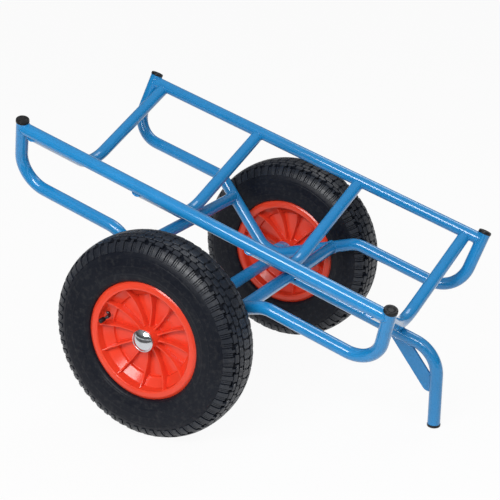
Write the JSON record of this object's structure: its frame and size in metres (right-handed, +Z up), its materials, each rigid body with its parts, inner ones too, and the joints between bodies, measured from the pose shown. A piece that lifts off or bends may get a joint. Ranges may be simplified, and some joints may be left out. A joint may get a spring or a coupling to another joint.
{
  "type": "gas cylinder trolley",
  "caption": "Two-wheeled hand trolley of bent steel tube with a V-bar cradle for a lying gas cylinder, pneumatic wheels and a parking leg.",
  "frame": {"origin": "on the floor under the middle of the whole trolley's bounding box, parked on its wheels and leg", "axes": "+X from the raised rear posts towards the parking leg, +Y towards the left wheel, +Z up"},
  "size_m": [0.8216, 0.6642, 0.5663],
  "materials": {
    "frame_paint": "gloss light blue paint",
    "black_plastic": "moulded",
    "tyre": "matt rubber",
    "rim_plastic": "moulded, satin",
    "axle_steel": "turned, zinc plated",
    "chrome": "bright",
    "valve_rubber": "matt rubber"
  },
  "bodies": {
    "frame": {"axle_shaft": "axle_steel", "axle_tube": "frame_paint", "front_cradle_bar": "frame_paint", "front_cross_tube": "frame_paint", "front_left_post_cap": "black_plastic", "front_middle_cradle_bar": "frame_paint", "front_right_post_cap": "black_plastic", "left_axle_collar": "frame_paint", "left_hub_cap": "chrome", "left_hub_washer": "axle_steel", "left_side_loop": "frame_paint", "left_top_rail": "frame_paint", "leg_foot": "black_plastic", "leg_gusset": "frame_paint", "parking_leg": "frame_paint", "rear_cradle_bar": "frame_paint", "rear_cross_tube": "frame_paint", "rear_left_post_cap": "black_plastic", "rear_middle_cradle_bar": "frame_paint", "rear_right_post_cap": "black_plastic", "right_axle_collar": "frame_paint", "right_hub_cap": "chrome", "right_hub_washer": "axle_steel", "right_side_loop": "frame_paint", "right_top_rail": "frame_paint"},
    "left_wheel": {"left_tyre": "tyre", "left_rim": "rim_plastic", "left_valve_stem": "valve_rubber"},
    "right_wheel": {"right_tyre": "tyre", "right_rim": "rim_plastic", "right_valve_stem": "valve_rubber"}
  },
  "joints": [
    {"name": "left_wheel_spin", "type": "hinge", "parent": "frame", "child": "left_wheel", "pos_m": [-0.05905, 0.282, 0.2], "axis": [0, 1, 0], "continuous": true},
    {"name": "right_wheel_spin", "type": "hinge", "parent": "frame", "child": "right_wheel", "pos_m": [-0.05905, -0.282, 0.2], "axis": [0, 1, 0], "continuous": true}
  ]
}
